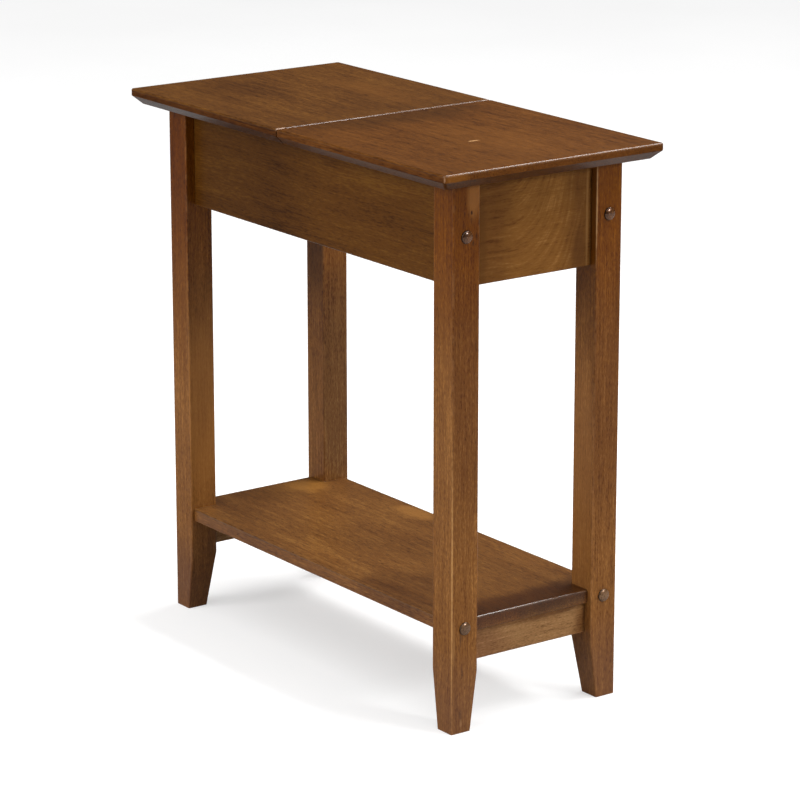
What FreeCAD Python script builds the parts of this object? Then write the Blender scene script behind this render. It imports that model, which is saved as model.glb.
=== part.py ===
import FreeCAD, Part
import math
import os
from FreeCAD import Vector

# Lift top end table, in millimetres.
# +Z is up and the floor is Z = 0. +X runs along the table towards the free end of the lid.
# The origin is on the floor, under the middle of the top.

# Overall size
table_length = 590.55
table_width = 285.75
table_height = 609.6

# Top in two halves: the -X half is fixed, the +X half is the lid
top_thickness = 17.0
top_edge_height = 8.0
top_bevel_inset = 9.0
top_corner_radius = 3.0
top_arris_radius = 2.0
seam_offset = -3.0
lid_gap = 2.0

# Legs: square, tapered on their two inner faces near the floor
leg_section = 34.0
leg_arris_radius = 1.5
end_overhang = 28.0
side_overhang = 32.5
foot_section = 25.0
foot_taper_height = 66.0

# Storage box under the top
apron_height = 110.0
apron_thickness = 15.0
apron_setback = 11.0
end_panel_thickness = 15.0
end_panel_setback = 8.0
board_arris_radius = 1.5
floor_thickness = 5.0
floor_height = 12.0
groove_depth = 6.0
groove_clearance = 0.2
groove_end_clearance = 1.0
floor_corner_clearance = 0.5

# Battens that carry the fixed half: one along the seam, one on the end panel
batten_width = 18.0
batten_height = 30.0
batten_arris_radius = 1.0
batten_end_clearance = 2.0
seam_batten_inset = 4.0

# Shelf, and the stretchers under its ends
shelf_height = 107.95
shelf_thickness = 15.0
shelf_side_setback = 4.0
shelf_end_setback = 6.0
stretcher_height = 34.0
stretcher_thickness = 18.0
stretcher_setback = 10.0

# Continuous hinge in the seam
leaf_thickness = 0.8
leaf_play = 0.2
leaf_depth = 14.0
hinge_end_margin = 12.0
hinge_axis_depth = 1.6
barrel_radius = 1.6
barrel_clearance = 0.3
pin_radius = 0.8
pin_clearance = 0.05
knuckle_count = 19
knuckle_play = 0.3
hinge_screw_count = 6
hinge_screw_margin = 16.0
hinge_screw_depth = 8.5
hinge_screw_length = 14.0
hinge_screw_radius = 1.2
hinge_screw_head_radius = 2.3

# Bolts through the legs, their cross nuts and their domed caps
bolt_radius = 3.0
bolt_clearance = 0.3
bolt_head_radius = 5.5
bolt_head_height = 4.0
bolt_recess_clearance = 0.5
bolt_recess_depth = 5.0
bolt_socket_radius = 2.3
bolt_socket_depth = 2.5
bolt_tip_past_nut = 4.0
hole_end_space = 0.5
nut_distance = 30.0
nut_radius = 5.0
nut_cover = 1.5
nut_clearance = 0.1
thread_clearance = 0.05
cap_radius = 7.0
cap_height = 3.2
cap_stem_radius = 1.8
cap_stem_length = 2.5

# Dowels
dowel_radius = 4.0
dowel_depth = 14.0
small_dowel_radius = 3.0
small_dowel_depth = 10.0
dowel_clearance = 0.05
end_panel_dowel_spread = 20.0
apron_dowel_spread = 30.0
stretcher_dowel_spread = 8.0
batten_dowel_spread = 8.0

# Wood screws
screw_radius = 2.0
screw_head_radius = 4.0
screw_tip_length = 4.0
screw_cross_width = 0.8
top_screw_engagement = 11.0
top_screw_end_distance = 32.0
end_screw_engagement = 10.0
end_screw_end_distance = 14.0
shelf_screw_engagement = 10.0
shelf_screw_end_distance = 31.0

# Felt pads on the two legs under the lid
pad_radius = 7.0

# Levels and places that follow from the sizes above
top_underside = table_height - top_thickness
frame_top = top_underside - lid_gap
apron_bottom = frame_top - apron_height
apron_middle = apron_bottom + apron_height / 2
floor_bottom = apron_bottom + floor_height
batten_bottom = top_underside - batten_height
batten_middle = batten_bottom + batten_height / 2
shelf_top = shelf_height + shelf_thickness
shelf_middle = shelf_height + shelf_thickness / 2
stretcher_bottom = shelf_height - stretcher_height
stretcher_middle = stretcher_bottom + stretcher_height / 2
leg_out_x = table_length / 2 - end_overhang
leg_out_y = table_width / 2 - side_overhang
leg_in_x = leg_out_x - leg_section
leg_in_y = leg_out_y - leg_section
leg_middle_x = leg_out_x - leg_section / 2
leg_middle_y = leg_out_y - leg_section / 2
apron_out_y = leg_out_y - apron_setback
apron_in_y = apron_out_y - apron_thickness
apron_middle_y = apron_out_y - apron_thickness / 2
end_panel_out_x = leg_out_x - end_panel_setback
end_panel_in_x = end_panel_out_x - end_panel_thickness
end_panel_middle_x = end_panel_out_x - end_panel_thickness / 2
stretcher_out_x = leg_out_x - stretcher_setback
stretcher_in_x = stretcher_out_x - stretcher_thickness
stretcher_middle_x = stretcher_out_x - stretcher_thickness / 2
seam_gap = 2 * leaf_thickness + leaf_play
hinge_axis_height = table_height - hinge_axis_depth
hinge_length = table_width - 2 * hinge_end_margin
seam_batten_out_x = seam_offset - seam_gap / 2 - seam_batten_inset
seam_batten_in_x = seam_batten_out_x - batten_width
seam_batten_middle_x = seam_batten_out_x - batten_width / 2
end_batten_out_x = -end_panel_in_x
end_batten_in_x = end_batten_out_x + batten_width
end_batten_middle_x = end_batten_out_x + batten_width / 2
bolt_end = leg_section + nut_distance + nut_radius + bolt_tip_past_nut
top_screw_y = leg_in_y - top_screw_end_distance
end_screw_y = leg_in_y - end_screw_end_distance
shelf_screw_y = leg_in_y - shelf_screw_end_distance

x_way = Vector(1, 0, 0)
y_way = Vector(0, 1, 0)
up = Vector(0, 0, 1)
end_names = {-1: "left", 1: "right"}
side_names = {-1: "front", 1: "back"}
corners = [(-1, -1), (1, -1), (-1, 1), (1, 1)]


def box(x_span, y_span, z_span):
    """A plain block. Each span is two limits in either order."""
    low = Vector(min(x_span), min(y_span), min(z_span))
    high = Vector(max(x_span), max(y_span), max(z_span))
    size = high - low
    return Part.makeBox(size.x, size.y, size.z, low)


def board(x_span, y_span, z_span, arris):
    """A block with every edge eased."""
    block = box(x_span, y_span, z_span)
    return block.makeFillet(arris, block.Edges)


def rod(radius, start, end):
    """A round bar from one point to another."""
    along = end - start
    return Part.makeCylinder(radius, along.Length, start, along)


def aimed(shape, point, way):
    """A shape that was made at the origin along +Z, moved to point and turned to face way."""
    shape.Placement = FreeCAD.Placement(point, FreeCAD.Rotation(up, way))
    return shape


def corner_arc(centre, radius, start_angle):
    """A level quarter circle that starts at start_angle and turns to the left."""
    points = []
    for step in range(3):
        angle = start_angle + step * math.pi / 4
        points.append(centre + Vector(math.cos(angle), math.sin(angle), 0) * radius)
    return Part.Arc(*points).toShape()


def rounded_outline(x_span, y_span, radius, z):
    """A level rectangle with four round corners."""
    x0, x1 = sorted(x_span)
    y0, y1 = sorted(y_span)
    centres = [
        Vector(x1 - radius, y1 - radius, z),
        Vector(x0 + radius, y1 - radius, z),
        Vector(x0 + radius, y0 + radius, z),
        Vector(x1 - radius, y0 + radius, z),
    ]
    arcs = [corner_arc(centre, radius, turn * math.pi / 2) for turn, centre in enumerate(centres)]
    edges = []
    for arc, next_arc in zip(arcs, arcs[1:] + arcs[:1]):
        edges.append(arc)
        edges.append(Part.makeLine(arc.Vertexes[-1].Point, next_arc.Vertexes[0].Point))
    return Part.Wire(edges)


def leg(end, side):
    """A square leg whose foot narrows towards its outer corner."""
    x_span = (end * leg_in_x, end * leg_out_x)
    y_span = (side * leg_in_y, side * leg_out_y)
    foot_x_span = (end * (leg_out_x - foot_section), end * leg_out_x)
    foot_y_span = (side * (leg_out_y - foot_section), side * leg_out_y)
    waist = rounded_outline(x_span, y_span, leg_arris_radius, foot_taper_height)
    sole = rounded_outline(foot_x_span, foot_y_span, leg_arris_radius, 0)
    post = Part.Face(waist).extrude(up * (frame_top - foot_taper_height))
    foot = Part.makeLoft([sole, waist], True, True)
    return post.fuse(foot).removeSplitter()


def floor_groove():
    """The room that the floor's edges take out of the four boards round it, as one level slab."""
    x = end_panel_in_x + groove_depth
    y = apron_in_y + groove_depth
    return box((-x, x), (-y, y), (floor_bottom, floor_bottom + floor_thickness + groove_clearance))


def apron(side):
    """A long side of the storage box, between two legs."""
    x_span = (-leg_in_x, leg_in_x)
    y_span = (side * apron_in_y, side * apron_out_y)
    return board(x_span, y_span, (apron_bottom, frame_top), board_arris_radius).cut(floor_groove())


def end_panel(end):
    """An end of the storage box, between two legs."""
    x_span = (end * end_panel_in_x, end * end_panel_out_x)
    y_span = (-leg_in_y, leg_in_y)
    return board(x_span, y_span, (apron_bottom, frame_top), board_arris_radius).cut(floor_groove())


def compartment_floor():
    """The floor of the storage box, held in grooves and notched round the legs."""
    x = end_panel_in_x + groove_depth - groove_end_clearance
    y = apron_in_y + groove_depth - groove_end_clearance
    z_span = (floor_bottom, floor_bottom + floor_thickness)
    notch_x = leg_in_x - floor_corner_clearance
    notch_y = leg_in_y - floor_corner_clearance
    notches = []
    for end, side in corners:
        notches.append(box((end * notch_x, end * leg_out_x), (side * notch_y, side * leg_out_y), z_span))
    return box((-x, x), (-y, y), z_span).cut(notches)


def seam_batten():
    """The cross batten under the fixed half's edge at the seam, between the long aprons."""
    x_span = (seam_batten_in_x, seam_batten_out_x)
    return board(x_span, (-apron_in_y, apron_in_y), (batten_bottom, top_underside), batten_arris_radius)


def end_batten():
    """The batten on the inside of the left end panel, under the fixed half."""
    y = leg_in_y - batten_end_clearance
    x_span = (end_batten_out_x, end_batten_in_x)
    return board(x_span, (-y, y), (batten_bottom, top_underside), batten_arris_radius)


def shelf():
    """The lower shelf, notched round the four legs."""
    x = leg_out_x - shelf_end_setback
    y = leg_out_y - shelf_side_setback
    z_span = (shelf_height, shelf_top)
    plank = board((-x, x), (-y, y), z_span, board_arris_radius)
    notches = []
    for end, side in corners:
        notches.append(box((end * leg_in_x, end * leg_out_x), (side * leg_in_y, side * leg_out_y), z_span))
    return plank.cut(notches)


def stretcher(end):
    """The cross rail under one end of the shelf, between two legs."""
    x_span = (end * stretcher_in_x, end * stretcher_out_x)
    return board(x_span, (-leg_in_y, leg_in_y), (stretcher_bottom, shelf_height), board_arris_radius)


def top_outline(length, inset, z):
    """The level outline of a top half: square at the seam, at X = 0, and round at its free end."""
    x = length - inset
    y = table_width / 2 - inset
    r = top_corner_radius
    near = corner_arc(Vector(x - r, -y + r, z), r, -math.pi / 2)
    far = corner_arc(Vector(x - r, y - r, z), r, 0)
    edges = [
        Part.makeLine(Vector(0, -y, z), near.Vertexes[0].Point),
        near,
        Part.makeLine(near.Vertexes[-1].Point, far.Vertexes[0].Point),
        far,
        Part.makeLine(far.Vertexes[-1].Point, Vector(0, y, z)),
        Part.makeLine(Vector(0, y, z), Vector(0, -y, z)),
    ]
    return Part.Wire(edges)


def top_half(length):
    """A top half: an upright edge, eased above, over a bevel that runs round its three open sides."""
    edge_bottom = table_height - top_edge_height
    outline = top_outline(length, 0, edge_bottom)
    slab = Part.Face(outline).extrude(up * top_edge_height)
    upper_edges = [edge for edge in slab.Edges if edge.BoundBox.ZMin > edge_bottom + top_edge_height / 2]
    eased = slab.makeFillet(top_arris_radius, upper_edges)
    bevel = Part.makeLoft([top_outline(length, top_bevel_inset, top_underside), outline], True, True)
    return eased.fuse(bevel).removeSplitter()


def fixed_top():
    """The half of the top that is screwed down."""
    half = top_half(table_length / 2 + seam_offset - seam_gap / 2)
    half.rotate(Vector(0, 0, 0), up, 180)
    half.translate(Vector(seam_offset - seam_gap / 2, 0, 0))
    return half.cut(barrel_groove())


def lid():
    """The half of the top that lifts."""
    half = top_half(table_length / 2 - seam_offset - seam_gap / 2)
    half.translate(Vector(seam_offset + seam_gap / 2, 0, 0))
    return half.cut(barrel_groove())


def hinge_axis(reach, radius):
    """A bar along the hinge's axis, as long each way as reach."""
    centre = Vector(seam_offset, 0, hinge_axis_height)
    return rod(radius, centre - y_way * reach, centre + y_way * reach)


def barrel_groove():
    """The room that the hinge's barrel takes out of both halves of the top."""
    return hinge_axis(hinge_length / 2 + knuckle_play, barrel_radius + barrel_clearance)


def hinge_leaf(half):
    """A leaf of the hinge, a plate in the seam with every second knuckle. half is -1 fixed, 1 lid."""
    x_span = (seam_offset + half * leaf_play / 2, seam_offset + half * seam_gap / 2)
    plate_bottom = table_height - leaf_depth
    plate_top = hinge_axis_height - barrel_radius - barrel_clearance
    start = -hinge_length / 2
    pitch = hinge_length / knuckle_count
    pieces = []
    first_knuckle = 0 if half < 0 else 1
    for number in range(first_knuckle, knuckle_count, 2):
        y0 = start + number * pitch + knuckle_play / 2
        y1 = y0 + pitch - knuckle_play
        pieces.append(box(x_span, (y0, y1), (plate_bottom, hinge_axis_height)))
        near_end = Vector(seam_offset, y0, hinge_axis_height)
        far_end = Vector(seam_offset, y1, hinge_axis_height)
        pieces.append(rod(barrel_radius, near_end, far_end))
    plate = box(x_span, (start, -start), (plate_bottom, plate_top))
    bore = hinge_axis(hinge_length, pin_radius + pin_clearance)
    return plate.fuse(pieces).removeSplitter().cut(bore)


def hinge_screw_places(half):
    """Where each screw of a leaf starts, on the leaf's open face."""
    first = -hinge_length / 2 + hinge_screw_margin
    pitch = -2 * first / (hinge_screw_count - 1)
    x = seam_offset + half * leaf_play / 2
    z = table_height - hinge_screw_depth
    return [Vector(x, first + number * pitch, z) for number in range(hinge_screw_count)]


def screw_blank(length, shank, head):
    """A countersunk wood screw along +Z with its flat head at the origin, before its cross is cut."""
    head_height = head - shank
    tip_start = length - screw_tip_length
    cone = Part.makeCone(head, shank, head_height)
    body = Part.makeCylinder(shank, tip_start - head_height, up * head_height)
    tip = Part.makeCone(shank, shank / 4, screw_tip_length, up * tip_start)
    return cone.fuse([body, tip]).removeSplitter()


def screw_cross(shank, head):
    """The cross recess in a screw's head."""
    arm = (shank + head) / 3
    half_width = screw_cross_width / 2
    depth = (head - shank) / 2
    one = box((-arm, arm), (-half_width, half_width), (0, depth))
    other = box((-half_width, half_width), (-arm, arm), (0, depth))
    return one.fuse(other)


def screws_and_holes(places, way, length, shank, head):
    """Screws driven along way from each place, and the room that they take in the wood."""
    screws = []
    holes = []
    for place in places:
        blank = screw_blank(length, shank, head)
        holes.append(aimed(blank.copy(), place, way))
        screws.append(aimed(blank.cut(screw_cross(shank, head)), place, way))
    return screws, holes


def dowels_and_holes(places, way, radius, depth):
    """Dowels centred on each place, half in each of two pieces, and their holes."""
    dowels = []
    holes = []
    for place in places:
        dowels.append(rod(radius, place - way * depth, place + way * depth))
        reach = way * (depth + hole_end_space)
        holes.append(rod(radius + dowel_clearance, place - reach, place + reach))
    return dowels, holes


def spread_places(x, y, z, spread):
    """Two places, one above the other, at every pairing of the X values and the Y values."""
    places = []
    for one_x in x:
        for one_y in y:
            places += [Vector(one_x, one_y, z - spread), Vector(one_x, one_y, z + spread)]
    return places


def leg_bolt():
    """A bolt along +Z that starts at the leg's outer face, with a six-sided socket in its sunk head."""
    head_start = bolt_recess_depth - bolt_head_height
    head = Part.makeCylinder(bolt_head_radius, bolt_head_height, up * head_start)
    shank = Part.makeCylinder(bolt_radius, bolt_end - bolt_recess_depth, up * bolt_recess_depth)
    points = []
    for number in range(7):
        angle = number * math.pi / 3
        points.append(Vector(math.cos(angle), math.sin(angle), 0) * bolt_socket_radius + up * head_start)
    socket = Part.Face(Part.makePolygon(points)).extrude(up * bolt_socket_depth)
    return head.fuse(shank).cut(socket)


def leg_bolt_hole():
    """The bolt's hole through a leg and into the board behind it, with a recess for the head."""
    hole = Part.makeCylinder(bolt_radius + bolt_clearance, bolt_end + hole_end_space)
    recess = Part.makeCylinder(bolt_head_radius + bolt_recess_clearance, bolt_recess_depth)
    return hole.fuse(recess)


def bolt_cap():
    """A domed cap along +Z that covers a bolt's recess, with a stem that plugs into the bolt's socket."""
    ball_radius = (cap_radius ** 2 + cap_height ** 2) / (2 * cap_height)
    ball = Part.makeSphere(ball_radius, up * (cap_height - ball_radius))
    above = box((-ball_radius, ball_radius), (-ball_radius, ball_radius), (0, cap_height))
    stem = Part.makeCylinder(cap_stem_radius, cap_stem_length, up * -cap_stem_length)
    return ball.common(above).fuse(stem)


def bolt_set(z):
    """The bolts and caps at one level, with the holes for them, and the place of each cross nut."""
    bolts = []
    caps = []
    holes = []
    nut_places = []
    for end, side in corners:
        place = Vector(end * leg_out_x, side * leg_middle_y, z)
        inward = Vector(-end, 0, 0)
        bolts.append(aimed(leg_bolt(), place, inward))
        holes.append(aimed(leg_bolt_hole(), place, inward))
        caps.append(aimed(bolt_cap(), place, -inward))
        nut_places.append(place + inward * (leg_section + nut_distance))
    return bolts, caps, holes, nut_places


def nuts_and_holes(places, starts, ways, board_thickness):
    """Cross nuts sunk into a board from its hidden face, and their holes."""
    nuts = []
    holes = []
    for place, start, way in zip(places, starts, ways):
        deep_end = start + way * (board_thickness - nut_cover)
        nut = rod(nut_radius, start + way * nut_cover, deep_end)
        reach = x_way * nut_distance
        thread = rod(bolt_radius + thread_clearance, place - reach, place + reach)
        nuts.append(nut.cut(thread))
        holes.append(rod(nut_radius + nut_clearance, start, deep_end))
    return nuts, holes


def lid_pad(side):
    """A felt pad on top of a right leg, on which the lid rests."""
    return Part.makeCylinder(pad_radius, lid_gap, Vector(leg_middle_x, side * leg_middle_y, frame_top))


# Dowels between the boards and the legs
end_dowels = {}
end_dowel_holes = []
stretcher_dowels = []
stretcher_dowel_holes = []
leg_sides = [-leg_in_y, leg_in_y]
for end in end_names:
    places = spread_places([end * end_panel_middle_x], leg_sides, apron_middle, end_panel_dowel_spread)
    end_dowels[end], holes = dowels_and_holes(places, y_way, dowel_radius, dowel_depth)
    end_dowel_holes += holes
    places = spread_places([end * stretcher_middle_x], leg_sides, stretcher_middle, stretcher_dowel_spread)
    dowels, holes = dowels_and_holes(places, y_way, small_dowel_radius, small_dowel_depth)
    stretcher_dowels += dowels
    stretcher_dowel_holes += holes
apron_dowels = {}
apron_dowel_holes = []
for side in side_names:
    places = spread_places([-leg_in_x, leg_in_x], [side * apron_middle_y], apron_middle, apron_dowel_spread)
    apron_dowels[side], holes = dowels_and_holes(places, x_way, dowel_radius, dowel_depth)
    apron_dowel_holes += holes
apron_sides = [-apron_in_y, apron_in_y]
places = spread_places([seam_batten_middle_x], apron_sides, batten_middle, batten_dowel_spread)
batten_dowels, batten_dowel_holes = dowels_and_holes(places, y_way, small_dowel_radius, small_dowel_depth)

# Bolts through the legs into the aprons above and the shelf below
upper_bolts, upper_caps, upper_bolt_holes, nut_places = bolt_set(apron_middle)
starts = [Vector(place.x, math.copysign(apron_in_y, place.y), place.z) for place in nut_places]
ways = [Vector(0, math.copysign(1, place.y), 0) for place in nut_places]
upper_nuts, upper_nut_holes = nuts_and_holes(nut_places, starts, ways, apron_thickness)
lower_bolts, lower_caps, lower_bolt_holes, nut_places = bolt_set(shelf_middle)
starts = [Vector(place.x, place.y, shelf_height) for place in nut_places]
lower_nuts, lower_nut_holes = nuts_and_holes(nut_places, starts, [up] * len(nut_places), shelf_thickness)

# Screws up into the fixed half, into the left end panel, and up into the shelf
screw_sizes = (screw_radius, screw_head_radius)
places = []
for x in (seam_batten_middle_x, end_batten_middle_x):
    places += [Vector(x, -top_screw_y, batten_bottom), Vector(x, top_screw_y, batten_bottom)]
screw_length = batten_height + top_screw_engagement
top_screws, top_screw_holes = screws_and_holes(places, up, screw_length, *screw_sizes)
places = [Vector(end_batten_in_x, y, batten_middle) for y in (-end_screw_y, end_screw_y)]
screw_length = batten_width + end_screw_engagement
end_screws, end_screw_holes = screws_and_holes(places, -x_way, screw_length, *screw_sizes)
places = []
for end in end_names:
    for y in (-shelf_screw_y, shelf_screw_y):
        places.append(Vector(end * stretcher_middle_x, y, stretcher_bottom))
screw_length = stretcher_height + shelf_screw_engagement
shelf_screws, shelf_screw_holes = screws_and_holes(places, up, screw_length, *screw_sizes)

# Screws of the hinge, into the edges of both halves
hinge_screw_sizes = (hinge_screw_length, hinge_screw_radius, hinge_screw_head_radius)
fixed_screws, fixed_screw_holes = screws_and_holes(hinge_screw_places(-1), -x_way, *hinge_screw_sizes)
lid_screws, lid_screw_holes = screws_and_holes(hinge_screw_places(1), x_way, *hinge_screw_sizes)

# All the pieces, each with its holes
dowel_holes_in_legs = end_dowel_holes + apron_dowel_holes + stretcher_dowel_holes
leg_holes = dowel_holes_in_legs + upper_bolt_holes + lower_bolt_holes
parts = {}
for end, side in corners:
    parts["leg_" + side_names[side] + "_" + end_names[end]] = leg(end, side).cut(leg_holes)
for side, name in side_names.items():
    apron_holes = apron_dowel_holes + batten_dowel_holes + upper_bolt_holes + upper_nut_holes
    parts["apron_" + name] = apron(side).cut(apron_holes)
    parts["dowels_apron_" + name] = Part.makeCompound(apron_dowels[side])
for end, name in end_names.items():
    parts["end_panel_" + name] = end_panel(end).cut(end_dowel_holes + end_screw_holes)
    parts["dowels_end_panel_" + name] = Part.makeCompound(end_dowels[end])
    parts["stretcher_" + name] = stretcher(end).cut(stretcher_dowel_holes + shelf_screw_holes)
parts["compartment_floor"] = compartment_floor()
parts["seam_batten"] = seam_batten().cut(batten_dowel_holes + top_screw_holes)
parts["end_batten"] = end_batten().cut(top_screw_holes + end_screw_holes)
parts["shelf"] = shelf().cut(lower_bolt_holes + lower_nut_holes + shelf_screw_holes)
parts["fixed_top"] = fixed_top().cut(top_screw_holes + fixed_screw_holes)
parts["lid"] = lid().cut(lid_screw_holes)
parts["hinge_leaf_fixed"] = hinge_leaf(-1).cut(fixed_screw_holes)
parts["hinge_leaf_lid"] = hinge_leaf(1).cut(lid_screw_holes)
parts["hinge_pin"] = hinge_axis(hinge_length / 2, pin_radius)
parts["hinge_screws_fixed"] = Part.makeCompound(fixed_screws)
parts["hinge_screws_lid"] = Part.makeCompound(lid_screws)
parts["bolts_apron"] = Part.makeCompound(upper_bolts)
parts["bolts_shelf"] = Part.makeCompound(lower_bolts)
parts["bolt_caps_apron"] = Part.makeCompound(upper_caps)
parts["bolt_caps_shelf"] = Part.makeCompound(lower_caps)
parts["cross_nuts_apron"] = Part.makeCompound(upper_nuts)
parts["cross_nuts_shelf"] = Part.makeCompound(lower_nuts)
parts["dowels_stretcher"] = Part.makeCompound(stretcher_dowels)
parts["dowels_seam_batten"] = Part.makeCompound(batten_dowels)
parts["screws_top"] = Part.makeCompound(top_screws)
parts["screws_end_batten"] = Part.makeCompound(end_screws)
parts["screws_shelf"] = Part.makeCompound(shelf_screws)
parts["lid_pads"] = Part.makeCompound([lid_pad(side) for side in side_names])

os.makedirs("parts", exist_ok=True)
for name, shape in parts.items():
    shape.exportStep("parts/" + name + ".step")
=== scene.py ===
from math import cos, radians, sin

import bpy
import numpy as np
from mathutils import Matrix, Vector


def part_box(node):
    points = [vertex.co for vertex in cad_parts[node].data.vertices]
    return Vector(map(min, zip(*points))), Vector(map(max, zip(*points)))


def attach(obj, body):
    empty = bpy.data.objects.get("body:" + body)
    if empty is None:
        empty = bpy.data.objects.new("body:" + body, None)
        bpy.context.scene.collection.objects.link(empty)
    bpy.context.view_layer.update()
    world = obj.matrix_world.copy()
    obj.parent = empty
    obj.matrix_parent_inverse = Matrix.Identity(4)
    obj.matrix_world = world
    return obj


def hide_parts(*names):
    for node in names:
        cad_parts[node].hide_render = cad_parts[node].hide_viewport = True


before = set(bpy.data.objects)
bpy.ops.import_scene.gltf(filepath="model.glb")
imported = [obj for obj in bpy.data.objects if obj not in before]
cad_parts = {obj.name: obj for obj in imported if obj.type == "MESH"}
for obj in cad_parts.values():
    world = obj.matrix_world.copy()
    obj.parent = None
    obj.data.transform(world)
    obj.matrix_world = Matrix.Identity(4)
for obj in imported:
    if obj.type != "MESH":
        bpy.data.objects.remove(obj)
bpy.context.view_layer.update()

# Legs: four square posts of solid walnut, stained a warm brown and lacquered satin.
# Each is planed square, tapered at the foot on its two inner faces, and its arrises are eased by hand.


def paint(red, green, blue):
    """A colour as it looks on a screen, 0 to 255, as linear light: ((c + 0.055) / 1.055) to the power 2.4."""
    shown = np.array([red, green, blue]) / 255.0
    light = np.where(shown <= 0.04045, shown / 12.92, ((shown + 0.055) / 1.055) ** 2.4)
    return (*light.tolist(), 1.0)


def add(tree, kind, sockets, **settings):
    """One shader node with its settings. A socket takes a value, or a link from another node's output."""
    node = tree.nodes.new(kind)
    for name, value in settings.items():
        setattr(node, name, value)
    for name, value in sockets.items():
        if isinstance(value, bpy.types.NodeSocket):
            tree.links.new(value, node.inputs[name])
        else:
            node.inputs[name].default_value = value
    return node


def calc(tree, operation, *terms):
    """The result of one Math node for terms that are numbers or other nodes' outputs."""
    return add(tree, "ShaderNodeMath", dict(enumerate(terms)), operation=operation).outputs[0]


def shift(tree, operation, *terms):
    """The result of one Vector Math node for terms that are vectors or other nodes' outputs."""
    return add(tree, "ShaderNodeVectorMath", dict(enumerate(terms)), operation=operation).outputs[0]


def fade(tree, value, low, high, start=0.0, end=1.0):
    """A value between low and high, eased at both ends, as a number from start to end."""
    sockets = {"Value": value, "From Min": low, "From Max": high, "To Min": start, "To Max": end}
    return add(tree, "ShaderNodeMapRange", sockets, interpolation_type="SMOOTHSTEP").outputs[0]


def mottle(tree, place, stretch, scale, detail, roughness=0.5):
    """Noise of a scale in cells per metre, drawn out along each axis by the inverse of its stretch."""
    drawn = shift(tree, "MULTIPLY", place, stretch)
    sockets = {"Vector": drawn, "Scale": scale, "Detail": detail, "Roughness": roughness}
    return add(tree, "ShaderNodeTexNoise", sockets).outputs[0]


def tint(tree, mask, under, over, how="MIX"):
    """A colour laid over another where the mask is 1."""
    node = add(tree, "ShaderNodeMix", {0: mask, 6: under, 7: over}, data_type="RGBA", blend_type=how)
    return node.outputs[2]


def new_group(name, takes, gives):
    """An empty node group with its named sockets, and the two nodes that stand for them."""
    group = bpy.data.node_groups.new(name, "ShaderNodeTree")
    for label, kind, value in takes:
        socket = group.interface.new_socket(label, in_out="INPUT", socket_type="NodeSocket" + kind)
        socket.default_value = value
    for label, kind in gives:
        group.interface.new_socket(label, in_out="OUTPUT", socket_type="NodeSocket" + kind)
    return group, group.nodes.new("NodeGroupInput").outputs, group.nodes.new("NodeGroupOutput").inputs


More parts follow.
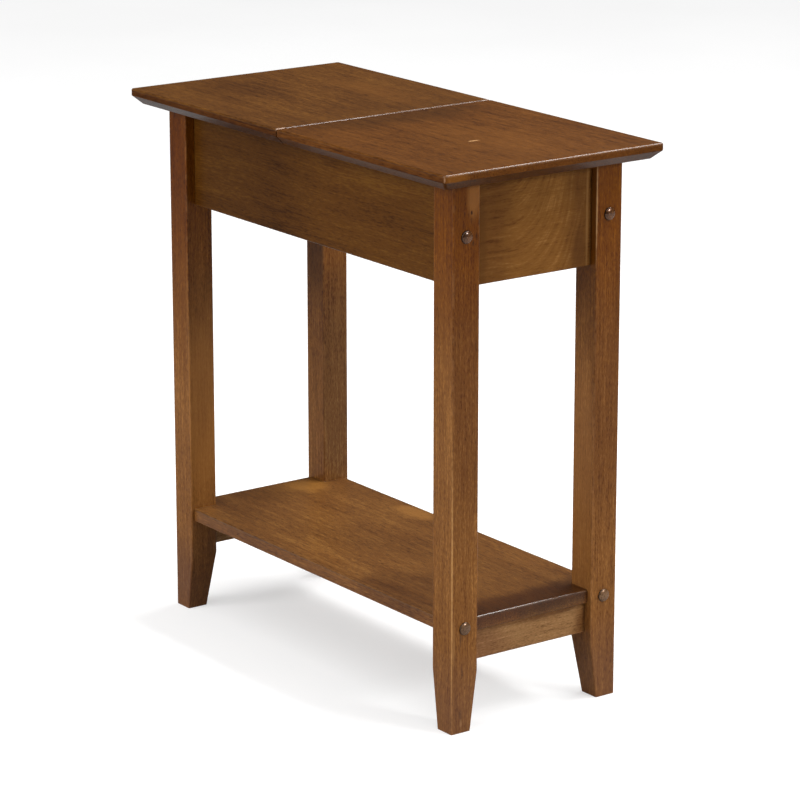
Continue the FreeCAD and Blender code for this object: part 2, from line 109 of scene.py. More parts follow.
def walnut_grain():
    """Stained walnut: clouds, bands and lines of noise drawn out along x add up to a tone from dark to light.
    Short dashes along x are the pores, which are darker, rougher and sunk. The flame figure is more lines,
    turned away from x in the plane of x and z."""
    white = (1.0, 1.0, 1.0, 1.0)
    group, takes, gives = new_group("walnut_grain", [
        ("Along Grain", "Vector", (0.0, 0.0, 0.0)), ("Dark", "Color", white), ("Mid", "Color", white),
        ("Light", "Color", white), ("Clouds", "Float", 1.0), ("Lines", "Float", 1.0), ("Pores", "Float", 1.0),
        ("Flame", "Float", 0.0), ("Flame Turn", "Float", 0.0), ("Fibre Draw", "Vector", (0.1, 1.0, 1.0)),
    ], [("Color", "Color"), ("Roughness", "Float"), ("Height", "Float")])
    straight = takes["Along Grain"]
    drawn = shift(group, "MULTIPLY", straight, (0.4, 1.0, 1.0))
    sway = add(group, "ShaderNodeTexNoise", {"Vector": drawn, "Scale": 9.0, "Detail": 2.0}).outputs[1]
    sway = shift(group, "MULTIPLY", shift(group, "SUBTRACT", sway, (0.5, 0.5, 0.5)), (0.03, 0.014, 0.014))
    place = shift(group, "ADD", straight, sway)
    clouds = mottle(group, place, (0.30, 1.0, 1.0), 17.0, 3.0, 0.55)
    patches = mottle(group, place, (0.45, 1.0, 1.0), 62.0, 3.0, 0.6)
    bands = mottle(group, place, (0.04, 1.0, 1.0), 110.0, 3.0)
    lines = mottle(group, place, (0.02, 1.0, 1.0), 520.0, 3.0, 0.6)
    fibre = mottle(group, place, takes["Fibre Draw"], 800.0, 3.0, 0.65)
    pores = fade(group, mottle(group, place, (0.10, 1.0, 1.0), 1500.0, 1.0), 0.58, 0.72)
    turned = add(group, "ShaderNodeVectorRotate", {"Vector": place, "Angle": takes["Flame Turn"]},
                 rotation_type="Y_AXIS").outputs[0]
    flame = mottle(group, turned, (0.06, 1.0, 1.0), 270.0, 3.0, 0.6)
    blotch = streak = 0.0
    for noise, weight in ((clouds, 1.9), (patches, 0.5)):
        blotch = calc(group, "MULTIPLY_ADD", calc(group, "SUBTRACT", noise, 0.5), weight, blotch)
    for noise, weight in ((bands, 0.25), (lines, 0.95), (fibre, 1.2)):
        streak = calc(group, "MULTIPLY_ADD", calc(group, "SUBTRACT", noise, 0.5), weight, streak)
    tone = calc(group, "MULTIPLY_ADD", blotch, takes["Clouds"], 0.5)
    tone = calc(group, "MULTIPLY_ADD", streak, takes["Lines"], tone)
    tone = calc(group, "MULTIPLY_ADD", calc(group, "SUBTRACT", flame, 0.5), takes["Flame"], tone)
    low = fade(group, tone, 0.0, 0.5)
    high = fade(group, tone, 0.5, 1.0)
    colour = tint(group, high, tint(group, low, takes["Dark"], takes["Mid"]), takes["Light"])
    sunk = calc(group, "MULTIPLY", pores, takes["Pores"])
    colour = tint(group, calc(group, "MULTIPLY", sunk, 0.55), colour, takes["Dark"], "MULTIPLY")
    rough = calc(group, "MULTIPLY_ADD", lines, 0.16, 0.26)
    rough = calc(group, "MULTIPLY_ADD", sunk, 0.15, rough)
    height = calc(group, "MULTIPLY_ADD", sunk, -0.7, calc(group, "MULTIPLY_ADD", lines, 0.3, fibre))
    for label, value in (("Color", colour), ("Roughness", rough), ("Height", height)):
        group.links.new(value, gives[label])
    return group


def eased_edges():
    """How near a point on a board is to an arris: of its three depths below the faces of the board's box,
    the second smallest is the distance to the nearest edge. Noise breaks the worn line up."""
    group, takes, gives = new_group("eased_edges", [
        ("Place", "Vector", (0.0, 0.0, 0.0)), ("Centre", "Vector", (0.0, 0.0, 0.0)),
        ("Half", "Vector", (1.0, 1.0, 1.0)), ("Reach", "Float", 0.003),
    ], [("Edge", "Float"), ("Worn", "Float")])
    away = shift(group, "ABSOLUTE", shift(group, "SUBTRACT", takes["Place"], takes["Centre"]))
    depth = add(group, "ShaderNodeSeparateXYZ", {0: shift(group, "SUBTRACT", takes["Half"], away)}).outputs
    least = calc(group, "MINIMUM", depth[0], depth[1])
    most = calc(group, "MAXIMUM", depth[0], depth[1])
    second = calc(group, "MAXIMUM", least, calc(group, "MINIMUM", most, depth[2]))
    edge = fade(group, second, 0.0, takes["Reach"], 1.0, 0.0)
    broken = fade(group, mottle(group, takes["Place"], (1.0, 1.0, 1.0), 70.0, 4.0, 0.65), 0.44, 0.62)
    group.links.new(edge, gives["Edge"])
    group.links.new(calc(group, "MULTIPLY", edge, broken), gives["Worn"])
    return group


def soft_mark():
    """A ragged mark: 1 inside an ellipsoid round its centre, fading out at its reach.
    Noise shakes its border."""
    group, takes, gives = new_group("soft_mark", [
        ("Place", "Vector", (0.0, 0.0, 0.0)), ("Centre", "Vector", (0.0, 0.0, 0.0)),
        ("Reach", "Vector", (1.0, 1.0, 1.0)), ("Ragged", "Float", 0.5), ("Scale", "Float", 200.0),
    ], [("Mask", "Float")])
    away = shift(group, "DIVIDE", shift(group, "SUBTRACT", takes["Place"], takes["Centre"]), takes["Reach"])
    far = add(group, "ShaderNodeVectorMath", {0: away}, operation="LENGTH").outputs["Value"]
    sockets = {"Vector": takes["Place"], "Scale": takes["Scale"], "Detail": 3.0}
    shake = calc(group, "SUBTRACT", add(group, "ShaderNodeTexNoise", sockets).outputs[0], 0.5)
    far = calc(group, "MULTIPLY_ADD", shake, takes["Ragged"], far)
    group.links.new(fade(group, far, 0.35, 1.0, 1.0, 0.0), gives["Mask"])
    return group


grain_group = walnut_grain()
edge_group = eased_edges()
mark_group = soft_mark()


def stain(tree, place, colour, mark, how="MIX"):
    """A colour with one mark over it: some marks are stain, others painted shade and painted light.
    A mark is a centre, a reach, a colour, a strength, a raggedness and a noise scale."""
    middle, reach, mark_tone, strength, ragged, scale = mark
    spot = add(tree, "ShaderNodeGroup", {}, node_tree=mark_group)
    tree.links.new(place, spot.inputs["Place"])
    for label, value in (("Centre", middle), ("Reach", reach), ("Ragged", ragged), ("Scale", scale)):
        spot.inputs[label].default_value = value
    mask = calc(tree, "MULTIPLY", spot.outputs["Mask"], strength)
    return tint(tree, mask, colour, paint(*mark_tone), how)


def walnut(name, turn, tones, centre, half, mirrored=False, move=(0.0, 0.0, 0.0), marks=(), shades=(),
           clouds=1.0, lines=1.0, pores=1.0, wear=0.5, flame=0.0, fibre=0.1, gloss=0.3, polish=0.15,
           arris_low=None, edge_stain=(255, 255, 255), edge_gloss=0.05, bevel_top=None):
    """A stained and lacquered walnut board. turn brings its grain to x and move shifts it, tones are its
    dark, mid and light stain, and centre and half are the box of its arrises. A mirrored board is one of
    a pair or a four about the middle planes. A shade is a mark that deepens the colour by its own and
    keeps the grain. Shades and marks are stain, and on some boards they are also painted shade and
    painted light. Fibres are as long as their width divided by fibre. The flame figure steepens along
    the board, from 10 to 75 degrees over 140 mm. gloss is the lacquer's on the faces, and polish what
    rubbing adds along the arrises. Sawn edges drink in stain and lacquer: below arris_low they have their
    own edge_gloss, and edge_stain deepens them. On the bevel under bevel_top the lacquer lies thicker,
    and a painted shade darkens the bevel's colour."""
    worn_wood, bevel_painted_shade = paint(176, 124, 76), paint(214, 212, 212)
    finish = bpy.data.materials.new(name)
    finish.use_nodes = True
    tree = finish.node_tree
    shader = tree.nodes["Principled BSDF"]
    place = add(tree, "ShaderNodeTexCoord", {}).outputs["Object"]
    along = add(tree, "ShaderNodeMapping", {"Vector": place, "Rotation": turn, "Location": move}).outputs[0]
    dark, mid, light = (paint(*tone) for tone in tones)
    wood = add(tree, "ShaderNodeGroup", {}, node_tree=grain_group)
    for label, value in (("Dark", dark), ("Mid", mid), ("Light", light), ("Clouds", clouds), ("Lines", lines),
                         ("Pores", pores), ("Fibre Draw", (fibre, 1.0, 1.0))):
        wood.inputs[label].default_value = value
    tree.links.new(along, wood.inputs["Along Grain"])
    if flame:
        step = add(tree, "ShaderNodeSeparateXYZ", {0: along}).outputs[0]
        tree.links.new(fade(tree, step, -0.07, 0.07, radians(10.0), radians(75.0)), wood.inputs["Flame Turn"])
        wood.inputs["Flame"].default_value = flame
    colour = wood.outputs["Color"]
    folded = shift(tree, "ABSOLUTE", place) if mirrored else place
    edges = add(tree, "ShaderNodeGroup", {}, node_tree=edge_group)
    tree.links.new(folded, edges.inputs["Place"])
    edges.inputs["Centre"].default_value = centre
    edges.inputs["Half"].default_value = half
    for shade in shades:
        colour = stain(tree, place, colour, shade, "MULTIPLY")
    for mark in marks:
        colour = stain(tree, place, colour, mark)
    worn = calc(tree, "MULTIPLY", edges.outputs["Worn"], wear)
    colour = tint(tree, worn, colour, worn_wood)
    coat = calc(tree, "MULTIPLY", edges.outputs["Edge"], polish)
    shader.inputs["Specular IOR Level"].default_value = gloss
    if arris_low:
        rise = add(tree, "ShaderNodeSeparateXYZ", {0: place}).outputs[2]
        arris_high = arris_low + 0.0023
        on_edge = fade(tree, rise, arris_low, arris_high, 1.0, 0.0)
        colour = tint(tree, on_edge, colour, paint(*edge_stain), "MULTIPLY")
        shine = fade(tree, rise, arris_low, arris_high, edge_gloss, gloss)
        tree.links.new(shine, shader.inputs["Specular IOR Level"])
        coat = calc(tree, "MULTIPLY", coat, fade(tree, rise, arris_low, arris_high))
    if bevel_top:
        bevel_middle, bevel_half = bevel_top - 0.0043, 0.0044
        on_bevel = calc(tree, "COMPARE", rise, bevel_middle, bevel_half)
        # Painted shade: the bevel under the top is darkened here.
        colour = tint(tree, on_bevel, colour, bevel_painted_shade, "MULTIPLY")
        coat = calc(tree, "MULTIPLY_ADD", on_bevel, 0.34, coat)
    tree.links.new(coat, shader.inputs["Coat Weight"])
    tree.links.new(colour, shader.inputs["Base Color"])
    tree.links.new(wood.outputs["Roughness"], shader.inputs["Roughness"])
    sockets = {"Height": wood.outputs["Height"], "Strength": 0.35, "Distance": 0.0002}
    bump = add(tree, "ShaderNodeBump", sockets)
    tree.links.new(bump.outputs[0], shader.inputs["Normal"])
    shader.inputs["Coat Roughness"].default_value = 0.14
    return finish


def dress(finish, *names):
    """Gives CAD nodes their finish."""
    for name in names:
        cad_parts[name].material_slots[0].material = finish


grain_up = (0.0, radians(90.0), 0.0)
grain_across = (0.0, 0.0, radians(-90.0))
grain_long = (0.0, 0.0, 0.0)
leg_low, leg_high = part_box("leg_back_right")
leg_walnut = walnut(
    "leg_walnut", grain_up, ((88, 47, 17), (129, 82, 37), (161, 110, 56)),
    (leg_low + leg_high) / 2, (leg_high - leg_low) / 2, mirrored=True,
    clouds=0.45, lines=1.3, pores=0.8, wear=0.22, fibre=0.24, gloss=0.12,
    shades=(
        # Painted shade: the leg heads darker under the top.
        ((0.0, 0.0, 0.68), (9.0, 9.0, 0.36), (212, 182, 71), 1.0, 0.2, 20.0),
        # Painted shade: the right legs' outer faces darker at mid height.
        ((0.2673, 0.0, 0.36), (0.002, 9.0, 0.20), (219, 211, 206), 1.0, 0.3, 30.0),
        # Painted shade: the front left leg's front face darker towards its head.
        ((-0.2503, -0.1104, 0.46), (0.030, 0.003, 0.26), (226, 212, 180), 1.0, 0.3, 30.0),
        # The front left leg's front face darker at the foot.
        ((-0.2503, -0.1104, 0.02), (0.030, 0.003, 0.09), (219, 213, 218), 1.0, 0.3, 30.0),
        # Painted shade: the back left leg's front face darker at its top, under the apron.
        ((-0.2503, 0.0764, 0.42), (0.030, 0.003, 0.11), (188, 183, 174), 1.0, 0.3, 30.0),
        # Painted shade: the back left leg's inner face darker.
        ((-0.2333, 0.0934, 0.24), (0.003, 0.040, 0.20), (214, 224, 253), 1.0, 0.3, 30.0),
    ),
    marks=(
        # Painted light: the front left leg's inner face lighter below the apron.
        ((-0.2333, -0.0934, 0.245), (0.003, 0.040, 0.17), (176, 120, 62), 0.5, 0.4, 30.0),
        # Painted light: the back right leg's front face lighter low down.
        ((0.2503, 0.0764, 0.230), (0.030, 0.003, 0.22), (170, 116, 66), 0.3, 0.4, 30.0),
        # Worn arris and painted highlight: a light line down the front right leg's outer arris.
        ((0.2673, -0.1104, 0.160), (0.0016, 0.0016, 0.220), (206, 154, 94), 0.75, 0.7, 120.0),
        ((0.2673, -0.1078, 0.100), (0.0020, 0.0028, 0.035), (160, 114, 66), 0.4, 0.6, 150.0),
        ((0.2673, -0.0840, 0.578), (0.0040, 0.0125, 0.032), (150, 98, 48), 0.65, 0.4, 60.0),
        # Painted light: the back right leg's front face lighter in the strip beside the end panel.
        ((0.2633, 0.0764, 0.548), (0.0075, 0.0015, 0.075), (122, 74, 28), 0.9, 0.2, 60.0),
        # Worn arris and painted highlight: a light line on the back right leg's arris beside the panel.
        ((0.2673, 0.0764, 0.545), (0.0016, 0.0016, 0.085), (200, 154, 104), 0.8, 0.5, 120.0),
        ((0.2673, -0.0872, 0.560), (0.0020, 0.0017, 0.0030), (30, 16, 8), 0.95, 0.6, 900.0),
        ((0.2673, -0.0872, 0.552), (0.0020, 0.0020, 0.0050), (54, 28, 12), 0.35, 0.9, 900.0),
        ((0.2673, -0.0775, 0.549), (0.0020, 0.0014, 0.0056), (44, 24, 8), 0.8, 0.7, 900.0),
        ((0.2673, -0.0968, 0.547), (0.0020, 0.0022, 0.0044), (60, 26, 12), 0.35, 0.9, 900.0),
        ((0.2673, -0.0805, 0.535), (0.0020, 0.0018, 0.0050), (50, 26, 10), 0.7, 1.2, 700.0),
        ((0.2673, -0.0850, 0.528), (0.0020, 0.0024, 0.0036), (58, 34, 14), 0.6, 1.2, 700.0),
        ((0.2673, -0.0987, 0.105), (0.0040, 0.0014, 0.012), (84, 56, 34), 0.6, 1.3, 400.0),
        ((0.2673, -0.0967, 0.066), (0.0040, 0.0014, 0.010), (78, 50, 30), 0.7, 1.3, 400.0),
        ((0.2673, -0.0985, 0.020), (0.0040, 0.0022, 0.008), (84, 56, 34), 0.6, 1.3, 400.0),
        ((0.2673, -0.0980, 0.010), (0.0040, 0.0018, 0.007), (182, 136, 90), 0.5, 1.0, 300.0),
        ((0.0, 0.0, -0.020), (9.0, 9.0, 0.130), (108, 78, 66), 0.3, 0.3, 30.0),
    ))
dress(leg_walnut, "leg_front_left", "leg_front_right", "leg_back_left", "leg_back_right")

# Aprons: the two long boards of the storage box, sawn from wide walnut and stained a darker, greener brown.
# Each stands back from the legs' outer faces and is bolted and dowelled between them.
apron_low, apron_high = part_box("apron_back")
apron_walnut = walnut(
    "apron_walnut", grain_long, ((63, 33, 6), (91, 54, 15), (109, 70, 23)),
    (0.0, (apron_low.y + apron_high.y) / 2, (apron_low.z + apron_high.z) / 2),
    (apron_high - apron_low) / 2, mirrored=True,
    clouds=0.7, lines=1.15, pores=0.6, wear=0.1, fibre=0.14, gloss=0.06,
    # Painted shade: the aprons darker towards the left end, beside the left legs.
    shades=(((-0.160, 0.0, 0.54), (0.200, 9.0, 9.0), (224, 222, 220), 1.0, 0.3, 25.0),))
dress(apron_walnut, "apron_front", "apron_back")

# End panels: the two short boards of the storage box, veneered with a diagonal flame figure.
# Their grain lies across the table, and dowels hold them between the legs.
panel_low, panel_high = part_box("end_panel_right")
panel_walnut = walnut(
    "panel_walnut", grain_across, ((94, 56, 20), (124, 81, 35), (149, 104, 53)),
    ((panel_low.x + panel_high.x) / 2, 0.0, (panel_low.z + panel_high.z) / 2),
    (panel_high - panel_low) / 2, mirrored=True, move=(0.0, 0.0, -(panel_low.z + panel_high.z) / 2),
    clouds=0.7, lines=0.7, pores=0.3, wear=0.1, flame=1.15, fibre=0.2, gloss=0.06,
    shades=(
        # Painted shade: both shades darken the panels towards their ends, in the corners by the legs.
        ((panel_high.x, -0.075, 0.540), (9.0, 0.058, 9.0), (219, 213, 212), 1.0, 0.4, 40.0),
        ((panel_high.x, 0.076, 0.540), (9.0, 0.046, 9.0), (214, 210, 213), 1.0, 0.4, 40.0),
    ),
    marks=(
        ((panel_high.x, 0.070, 0.535), (0.003, 0.0022, 0.09), (144, 104, 60), 0.5, 0.3, 90.0),
        # Painted shade: the two dark marks deepen the corners by the legs.
        ((panel_high.x, -0.070, 0.520), (0.006, 0.012, 0.08), (88, 54, 20), 0.6, 0.5, 60.0),
        ((panel_high.x, 0.060, 0.500), (0.006, 0.012, 0.03), (78, 46, 20), 0.5, 0.6, 80.0),
    ))
dress(panel_walnut, "end_panel_left", "end_panel_right")

# Stretchers: two short walnut rails across the ends, under the shelf, between the legs.
# They are dowelled to the legs, and screws go up through them into the shelf.
rail_low, rail_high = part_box("stretcher_right")
rail_walnut = walnut(
    "rail_walnut", grain_across, ((106, 71, 39), (150, 109, 67), (183, 141, 94)),
    ((rail_low.x + rail_high.x) / 2, 0.0, (rail_low.z + rail_high.z) / 2),
    (rail_high - rail_low) / 2, mirrored=True,
    clouds=0.6, lines=1.1, pores=0.4, wear=0.3, fibre=0.35, gloss=0.12,
    shades=(
        # Painted shadow: the first shade darkens the top of the rail under the shelf.
        ((rail_high.x, 0.0, rail_high.z), (0.004, 0.12, 0.009), (196, 180, 164), 1.0, 0.7, 40.0),
        # The other two shades darken the rail towards its ends.
        ((rail_high.x, rail_low.y, rail_low.z), (0.004, 0.065, 0.06), (222, 211, 213), 1.0, 0.5, 40.0),
        ((rail_high.x, rail_high.y, rail_low.z), (0.004, 0.022, 0.05), (206, 190, 172), 1.0, 0.5, 40.0),
    ))
dress(rail_walnut, "stretcher_left", "stretcher_right")

# Shelf: one wide walnut board notched round the four legs, with eased edges.
# Bolts through the legs hold it, and its stain is golden with a darker band near the right end.
shelf_low, shelf_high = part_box("shelf")
shelf_walnut = walnut(
    "shelf_walnut", grain_long, ((83, 47, 19), (119, 74, 33), (147, 98, 46)),
    (shelf_low + shelf_high) / 2, (shelf_high - shelf_low) / 2,
    clouds=0.55, lines=1.4, pores=1.0, wear=0.1, fibre=0.12, gloss=0.35, polish=0.7,
    arris_low=shelf_high.z - 0.0035, edge_gloss=0.25,
    shades=(
        ((0.0, 0.0, 0.123), (9.0, 9.0, 0.0035), (238, 244, 245), 1.0, 0.1, 20.0),
        ((0.250, 0.0, 0.123), (0.042, 0.20, 0.02), (178, 164, 160), 1.0, 0.5, 22.0),
        ((0.150, -0.070, 0.123), (0.090, 0.080, 0.02), (222, 218, 220), 1.0, 0.5, 30.0),
        ((-0.225, -0.060, 0.123), (0.110, 0.090, 0.02), (244, 244, 248), 1.0, 0.8, 30.0),
        ((shelf_high.x, 0.030, 0.114), (0.004, 0.07, 0.010), (236, 246, 246), 1.0, 1.2, 60.0),
    ),
    marks=(
        ((-0.235, 0.050, 0.123), (0.040, 0.036, 0.02), (176, 122, 56), 0.45, 0.5, 40.0),
        ((-0.070, 0.092, 0.123), (0.045, 0.022, 0.02), (180, 125, 60), 0.35, 0.6, 40.0),
    ))
dress(shelf_walnut, "shelf")

# Dowels: plain turned beech pegs, glued in holes between the boards and the legs.
# They keep their pale bare wood, and are hidden once the table is put together.
peg_wood = walnut("peg_wood", grain_long, ((150, 116, 78), (188, 154, 112), (212, 182, 140)),
                  (0.0, 0.0, 0.0), (1.0, 1.0, 1.0), clouds=0.5, wear=0.0)
dress(peg_wood, "dowels_apron_front", "dowels_apron_back", "dowels_end_panel_left", "dowels_end_panel_right",
      "dowels_stretcher", "dowels_seam_batten")

# Bolts and cross nuts: turned steel, zinc plated. The bolts go through the legs into the ends of the
# long boards, where each draws up on a cross nut let in from the inside.


def metal(name, dark, light, metallic, low_rough, high_rough, scale, depth,
          stretch=(1.0, 1.0, 1.0), marks=()):
    """A metal finish: two colours mixed by noise of a scale, with a roughness between two values and bump
    of a depth in metres. The noise is drawn out by the inverse of stretch, and marks lie over the colour."""
    finish = bpy.data.materials.new(name)
    finish.use_nodes = True
    tree = finish.node_tree
    shader = tree.nodes["Principled BSDF"]
    place = add(tree, "ShaderNodeTexCoord", {}).outputs["Object"]
    fine = mottle(tree, place, stretch, scale, 4.0, 0.6)
    broad = mottle(tree, place, (1.0, 1.0, 1.0), scale * 0.12, 2.0)
    mixed = fade(tree, calc(tree, "MULTIPLY_ADD", broad, 0.5, calc(tree, "MULTIPLY", fine, 0.5)), 0.36, 0.64)
    colour = tint(tree, mixed, paint(*dark), paint(*light))
    for mark in marks:
        colour = stain(tree, place, colour, mark)
    tree.links.new(colour, shader.inputs["Base Color"])
    tree.links.new(fade(tree, fine, 0.3, 0.7, low_rough, high_rough), shader.inputs["Roughness"])
    bump = add(tree, "ShaderNodeBump", {"Height": fine, "Strength": 0.4, "Distance": depth})
    tree.links.new(bump.outputs[0], shader.inputs["Normal"])
    shader.inputs["Metallic"].default_value = metallic
    return finish


bolt_zinc = metal("bolt_zinc", (150, 150, 152), (192, 193, 196), 1.0, 0.28, 0.45, 1800.0, 0.00004)
dress(bolt_zinc, "bolts_apron", "bolts_shelf", "cross_nuts_apron", "cross_nuts_shelf")

# Bolt caps: small domed covers of lacquered bronze, pressed over the bolt heads on the legs' outer faces.
# Each is a short round wall and a low dome. The upper four are dark and glossy, the lower four rubbed duller.


def domed_caps(name, node, finish):
    """Four caps on the outer faces of the legs, as large as the node's box says. The profile runs from the
    wall's foot to the crown: x = wall + (crown - wall) * sin(u) and r = radius * cos(u), turned about the
    cap's own axis. A disc closes the foot, and a ring of triangles the crown."""
    low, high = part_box(node)
    radius, crown = (high.z - low.z) / 2, high.x - leg_high.x
    wall = 0.2 * crown
    rise = np.linspace(0.0, np.pi / 2.0, 15)[:-1]
    out = np.concatenate([[0.0, wall * 0.6], wall + (crown - wall) * np.sin(rise)])
    wide = np.concatenate([[radius * 0.97, radius], radius * np.cos(rise)])
    around = np.linspace(0.0, 2.0 * np.pi, 49)[:-1]
    ring, count = len(around), len(out)
    across, upward = wide[:, None] * np.cos(around), wide[:, None] * np.sin(around)
    rings = np.stack(np.broadcast_arrays(out[:, None], across, upward), 2)
    one = np.concatenate([rings.reshape(-1, 3), [[crown, 0.0, 0.0]]])
    level, step = np.meshgrid(np.arange(count - 1), np.arange(ring), indexing="ij")
    after = (step + 1) % ring
    quads = np.stack([level * ring + step, level * ring + after, (level + 1) * ring + after,
                      (level + 1) * ring + step], 2).reshape(-1, 4)
    last = (count - 1) * ring + np.arange(ring)
    crown_faces = np.stack([last, np.roll(last, -1), np.full(ring, count * ring)], 1)
    foot = np.arange(ring)[::-1]
    points, faces = [], []
    for number, (side, back) in enumerate(((1, 1), (1, -1), (-1, 1), (-1, -1))):
        seat = np.array([side * leg_high.x, back * (leg_low.y + leg_high.y) / 2, (low.z + high.z) / 2])
        points.append(one * (side, side, 1) + seat)
        start = number * len(one)
        faces += (quads + start).tolist() + (crown_faces + start).tolist() + [(foot + start).tolist()]
    mesh = bpy.data.meshes.new(name)
    mesh.from_pydata(np.concatenate(points).tolist(), [], faces)
    mesh.polygons.foreach_set("use_smooth", np.array([len(face) < ring for face in faces]))
    mesh.materials.append(finish)
    caps = bpy.data.objects.new(name, mesh)
    bpy.context.scene.collection.objects.link(caps)
    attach(caps, "table")
    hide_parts(node)
    dress(finish, node)


def cap_lacquer(finish, thickness):
    """Clear lacquer over a cap's bronze, darkened near the foot where the cap meets the leg: painted shade.
    """
    tree = finish.node_tree
    shader = tree.nodes["Principled BSDF"]
    place = add(tree, "ShaderNodeTexCoord", {}).outputs["Object"]
    out = add(tree, "ShaderNodeSeparateXYZ", {0: shift(tree, "ABSOLUTE", place)}).outputs[0]
    # Painted shade: the cap's wall goes dark towards the leg's face.
    painted_foot_shade = fade(tree, out, leg_high.x + 0.0007, leg_high.x + 0.0021, 0.9, 0.0)
    bronze = shader.inputs["Base Color"].links[0].from_socket
    tree.links.new(tint(tree, painted_foot_shade, bronze, paint(18, 10, 7)), shader.inputs["Base Color"])
    shader.inputs["Coat Weight"].default_value = thickness
    shader.inputs["Coat Roughness"].default_value = 0.06
    return finish


dark_bronze = metal("dark_bronze", (64, 36, 13), (114, 70, 32), 0.4, 0.2, 0.3, 500.0, 0.00002)
rubbed_bronze = metal("rubbed_bronze", (94, 66, 42), (128, 93, 61), 0.4, 0.24, 0.36, 500.0, 0.00002)
domed_caps("upper_caps", "bolt_caps_apron", cap_lacquer(dark_bronze, 0.4))
domed_caps("lower_caps", "bolt_caps_shelf", cap_lacquer(rubbed_bronze, 0.2))

# Floor of the storage box: a thin sheet of plywood, stained to go with the boards.
# It lies in grooves in the aprons and the end panels, and is notched round the legs.
floor_low, floor_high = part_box("compartment_floor")
floor_ply = walnut("floor_ply", grain_long, ((104, 68, 38), (140, 98, 58), (168, 124, 78)),
                   (floor_low + floor_high) / 2, (floor_high - floor_low) / 2, clouds=0.7, wear=0.0)
dress(floor_ply, "compartment_floor")

# Battens: two plain sanded strips across the box under the fixed half of the top.
# One runs beside the seam on dowels, the other is screwed to the left end panel.
batten_wood = walnut("batten_wood", grain_across, ((120, 84, 52), (156, 116, 76), (184, 146, 104)),
                     (0.0, 0.0, 0.0), (1.0, 1.0, 1.0), clouds=0.6, wear=0.0)
dress(batten_wood, "seam_batten", "end_batten")

# Fixed half of the top: a walnut board with a bevel under its three outer edges and eased upper arrises.
# Screws from the battens below hold it down.
fixed_low, fixed_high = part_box("fixed_top")
edge_height = 0.008
bevel_top = fixed_high.z - edge_height
arris_low = fixed_high.z - 0.0035
fixed_walnut = walnut(
    "fixed_walnut", grain_long, ((64, 35, 10), (91, 55, 19), (113, 73, 28)),
    (fixed_low + fixed_high) / 2, (fixed_high - fixed_low) / 2,
    clouds=0.36, lines=1.7, pores=0.8, wear=0.06, fibre=0.11, gloss=0.2, polish=0.2,
    arris_low=arris_low, edge_stain=(213, 194, 177), bevel_top=bevel_top,
    shades=(((-0.220, -0.060, 0.6096), (0.08, 0.070, 0.01), (234, 230, 224), 1.0, 1.0, 30.0),),
    marks=(
        ((-0.120, 0.070, 0.6096), (0.11, 0.035, 0.01), (116, 72, 28), 0.3, 1.4, 45.0),
        # Painted highlight: the light mark at the seam's front end, on the fixed half's arris.
        ((fixed_high.x, -0.136, 0.6090), (0.0025, 0.014, 0.0025), (184, 152, 130), 0.5, 0.5, 200.0),
    ))
dress(fixed_walnut, "fixed_top")

# Lid: the lifting half of the top, of the same board, with the same bevel and arrises.
# It turns up on the hinge in the seam and rests on felt pads.
lid_low, lid_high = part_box("lid")
lid_walnut = walnut(
    "lid_walnut", grain_long, ((64, 33, 9), (96, 56, 17), (116, 71, 27)),
    (lid_low + lid_high) / 2, (lid_high - lid_low) / 2,
    clouds=0.36, lines=1.7, pores=0.8, wear=0.06, fibre=0.11, gloss=0.2, polish=0.2,
    arris_low=arris_low, edge_stain=(244, 238, 244), bevel_top=bevel_top,
    shades=(((0.005, 0.000, 0.6096), (0.07, 0.170, 0.01), (212, 214, 218), 1.0, 0.6, 30.0),),
    marks=(
        ((0.180, 0.000, 0.6096), (0.11, 0.070, 0.01), (122, 76, 30), 0.25, 1.3, 40.0),
        ((0.1704, -0.0120, 0.6096), (0.0027, 0.0100, 0.002), (196, 150, 100), 0.85, 1.0, 400.0),
        ((lid_high.x, -0.128, 0.6050), (0.003, 0.022, 0.0065), (150, 96, 34), 0.45, 0.5, 80.0),
        # Painted highlight: the pale mark on the lid's front corner arris.
        ((lid_high.x, lid_low.y, 0.6056), (0.0022, 0.0022, 0.0060), (224, 182, 140), 0.5, 0.4, 300.0),
    ))
dress(lid_walnut, "lid")

# Hinge: a long strip hinge of nickel plated steel, let into the two facing edges of the seam.
# Each leaf has rolled knuckles on one pin, flush with the top, and small countersunk screws.
# The knuckles are painted darker towards the back, a painted shade that dims them there.
hinge_nickel = metal(
    "hinge_nickel", (101, 91, 88), (136, 124, 120), 1.0, 0.38, 0.54, 1500.0, 0.00003, (1.0, 0.15, 1.0),
    marks=(
        # Painted shade: the knuckles darker towards the back of the seam.
        ((-0.003, 0.120, 0.608), (0.03, 0.170, 0.03), (70, 48, 36), 0.8, 0.6, 25.0),
        ((-0.003, 0.140, 0.608), (0.02, 0.030, 0.02), (44, 28, 20), 0.9, 0.4, 60.0),
    ))
dress(hinge_nickel, "hinge_leaf_fixed", "hinge_leaf_lid", "hinge_pin")
screw_nickel = metal("screw_nickel", (150, 140, 134), (192, 182, 176), 1.0, 0.25, 0.42, 2400.0, 0.00003)
dress(screw_nickel, "hinge_screws_fixed", "hinge_screws_lid")

# Wood screws: countersunk steel, yellow zinc plated, with cross recesses.
# They are driven up through the battens and the stretchers, and from the end batten into its panel.
screw_zinc = metal("screw_zinc", (150, 136, 96), (196, 182, 138), 1.0, 0.3, 0.48, 2400.0, 0.00004)
dress(screw_zinc, "screws_top", "screws_end_batten", "screws_shelf")

# Lid pads: small discs of pressed brown wool felt, punched from a sheet.
# They are glued on top of the two right-hand legs, and the lid comes down on them.


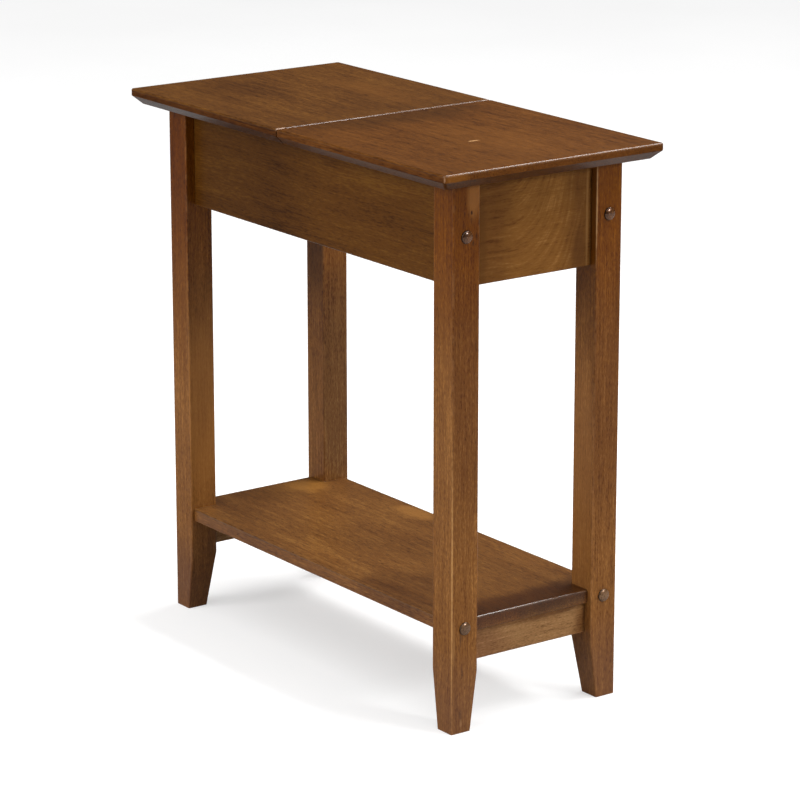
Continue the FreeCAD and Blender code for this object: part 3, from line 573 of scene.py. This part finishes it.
def pressed_felt(name, dark, light):
    """Felt: fibres of noise in two colours, rough all over, with a nap of bumps."""
    finish = bpy.data.materials.new(name)
    finish.use_nodes = True
    tree = finish.node_tree
    shader = tree.nodes["Principled BSDF"]
    place = add(tree, "ShaderNodeTexCoord", {}).outputs["Object"]
    fibres = mottle(tree, place, (1.0, 0.4, 1.0), 2600.0, 4.0, 0.7)
    colour = tint(tree, fade(tree, fibres, 0.3, 0.7), paint(*dark), paint(*light))
    tree.links.new(colour, shader.inputs["Base Color"])
    bump = add(tree, "ShaderNodeBump", {"Height": fibres, "Strength": 0.6, "Distance": 0.0003})
    tree.links.new(bump.outputs[0], shader.inputs["Normal"])
    shader.inputs["Roughness"].default_value = 0.95
    shader.inputs["Sheen Weight"].default_value = 0.06
    shader.inputs["Specular IOR Level"].default_value = 0.08
    return finish


dress(pressed_felt("brown_felt", (50, 36, 28), (84, 62, 48)), "lid_pads")

# Studio: a pale seamless floor, a soft ceiling light, a long lamp behind, one at the right and one in front,
# and a long lens at the photograph's angle.
floor_radius = 9.0
floor_height = -0.0003
rim_turn = np.linspace(0.0, 2.0 * np.pi, 97)[:-1]
rim = np.stack([floor_radius * np.cos(rim_turn), floor_radius * np.sin(rim_turn),
                np.full_like(rim_turn, floor_height)], 1)
floor_mesh = bpy.data.meshes.new("studio_floor")
floor_mesh.from_pydata(rim.tolist(), [], [list(range(len(rim)))])
studio_floor = bpy.data.objects.new("studio_floor", floor_mesh)
bpy.context.scene.collection.objects.link(studio_floor)
floor_paint = bpy.data.materials.new("floor_paint")
floor_paint.use_nodes = True
floor_tree = floor_paint.node_tree
floor_place = add(floor_tree, "ShaderNodeTexCoord", {}).outputs["Object"]
floor_cloud = fade(floor_tree, mottle(floor_tree, floor_place, (1.0, 1.0, 1.0), 2.0, 3.0), 0.3, 0.7)
floor_tone = tint(floor_tree, floor_cloud, paint(197, 197, 197), paint(201, 201, 201))
floor_seen = add(floor_tree, "ShaderNodeLightPath", {}).outputs["Is Camera Ray"]
floor_tone = tint(floor_tree, floor_seen, paint(172, 172, 172), floor_tone)
floor_shader = floor_tree.nodes["Principled BSDF"]
floor_tree.links.new(floor_tone, floor_shader.inputs["Base Color"])
floor_tree.links.new(calc(floor_tree, "MULTIPLY", floor_seen, 0.5), floor_shader.inputs["Emission Strength"])
floor_shader.inputs["Emission Color"].default_value = (1.0, 1.0, 1.0, 1.0)
floor_shader.inputs["Roughness"].default_value = 0.9
floor_shader.inputs["Specular IOR Level"].default_value = 0.1
floor_mesh.materials.append(floor_paint)

room = bpy.data.worlds.new("studio_room")
room.use_nodes = True
room.node_tree.nodes["Background"].inputs["Color"].default_value = (1.0, 1.0, 1.0, 1.0)
room.node_tree.nodes["Background"].inputs["Strength"].default_value = 0.05
bpy.context.scene.world = room
bpy.context.scene.view_settings.view_transform = "Standard"


def soft_light(name, place, aim, width, height, power):
    """A flat lamp at a place, turned to its aim."""
    lamp = bpy.data.lights.new(name, "AREA")
    lamp.shape = "RECTANGLE"
    lamp.size = width
    lamp.size_y = height
    lamp.energy = power
    light = bpy.data.objects.new(name, lamp)
    light.location = place
    light.rotation_euler = (Vector(aim) - Vector(place)).to_track_quat("-Z", "Y").to_euler()
    bpy.context.scene.collection.objects.link(light)


sky = bpy.data.lights.new("ceiling_light", "SUN")
sky.angle = radians(75.0)
sky.energy = 1.8
ceiling_light = bpy.data.objects.new("ceiling_light", sky)
ceiling_light.rotation_euler = Vector((-0.25, 0.15, -1.0)).to_track_quat("-Z", "Y").to_euler()
bpy.context.scene.collection.objects.link(ceiling_light)
soft_light("rear_light", (0.35, 1.75, 2.75), (0.0, 0.0, 0.5), 3.0, 0.5, 95.0)
soft_light("right_light", (3.05, 1.3, 1.6), (0.0, 0.0, 0.4), 0.62, 0.62, 45.0)
soft_light("left_light", (-0.4, -3.0, 1.7), (0.0, 0.0, 0.4), 2.0, 1.6, 72.0)

lens_turn, lens_rise, lens_reach = radians(53.977), radians(15.559), 3.942773
lens_aim = Vector((0.0, 0.017236, 0.285609))
lens_side = Vector((sin(lens_turn) * cos(lens_rise), -cos(lens_turn) * cos(lens_rise), sin(lens_rise)))
lens = bpy.data.cameras.new("photo_lens")
lens.sensor_width = 36.0
lens.lens = 159.8
camera = bpy.data.objects.new("photo_lens", lens)
camera.location = lens_aim + lens_reach * lens_side
camera.rotation_euler = (-lens_side).to_track_quat("-Z", "Y").to_euler()
bpy.context.scene.collection.objects.link(camera)
bpy.context.scene.camera = camera
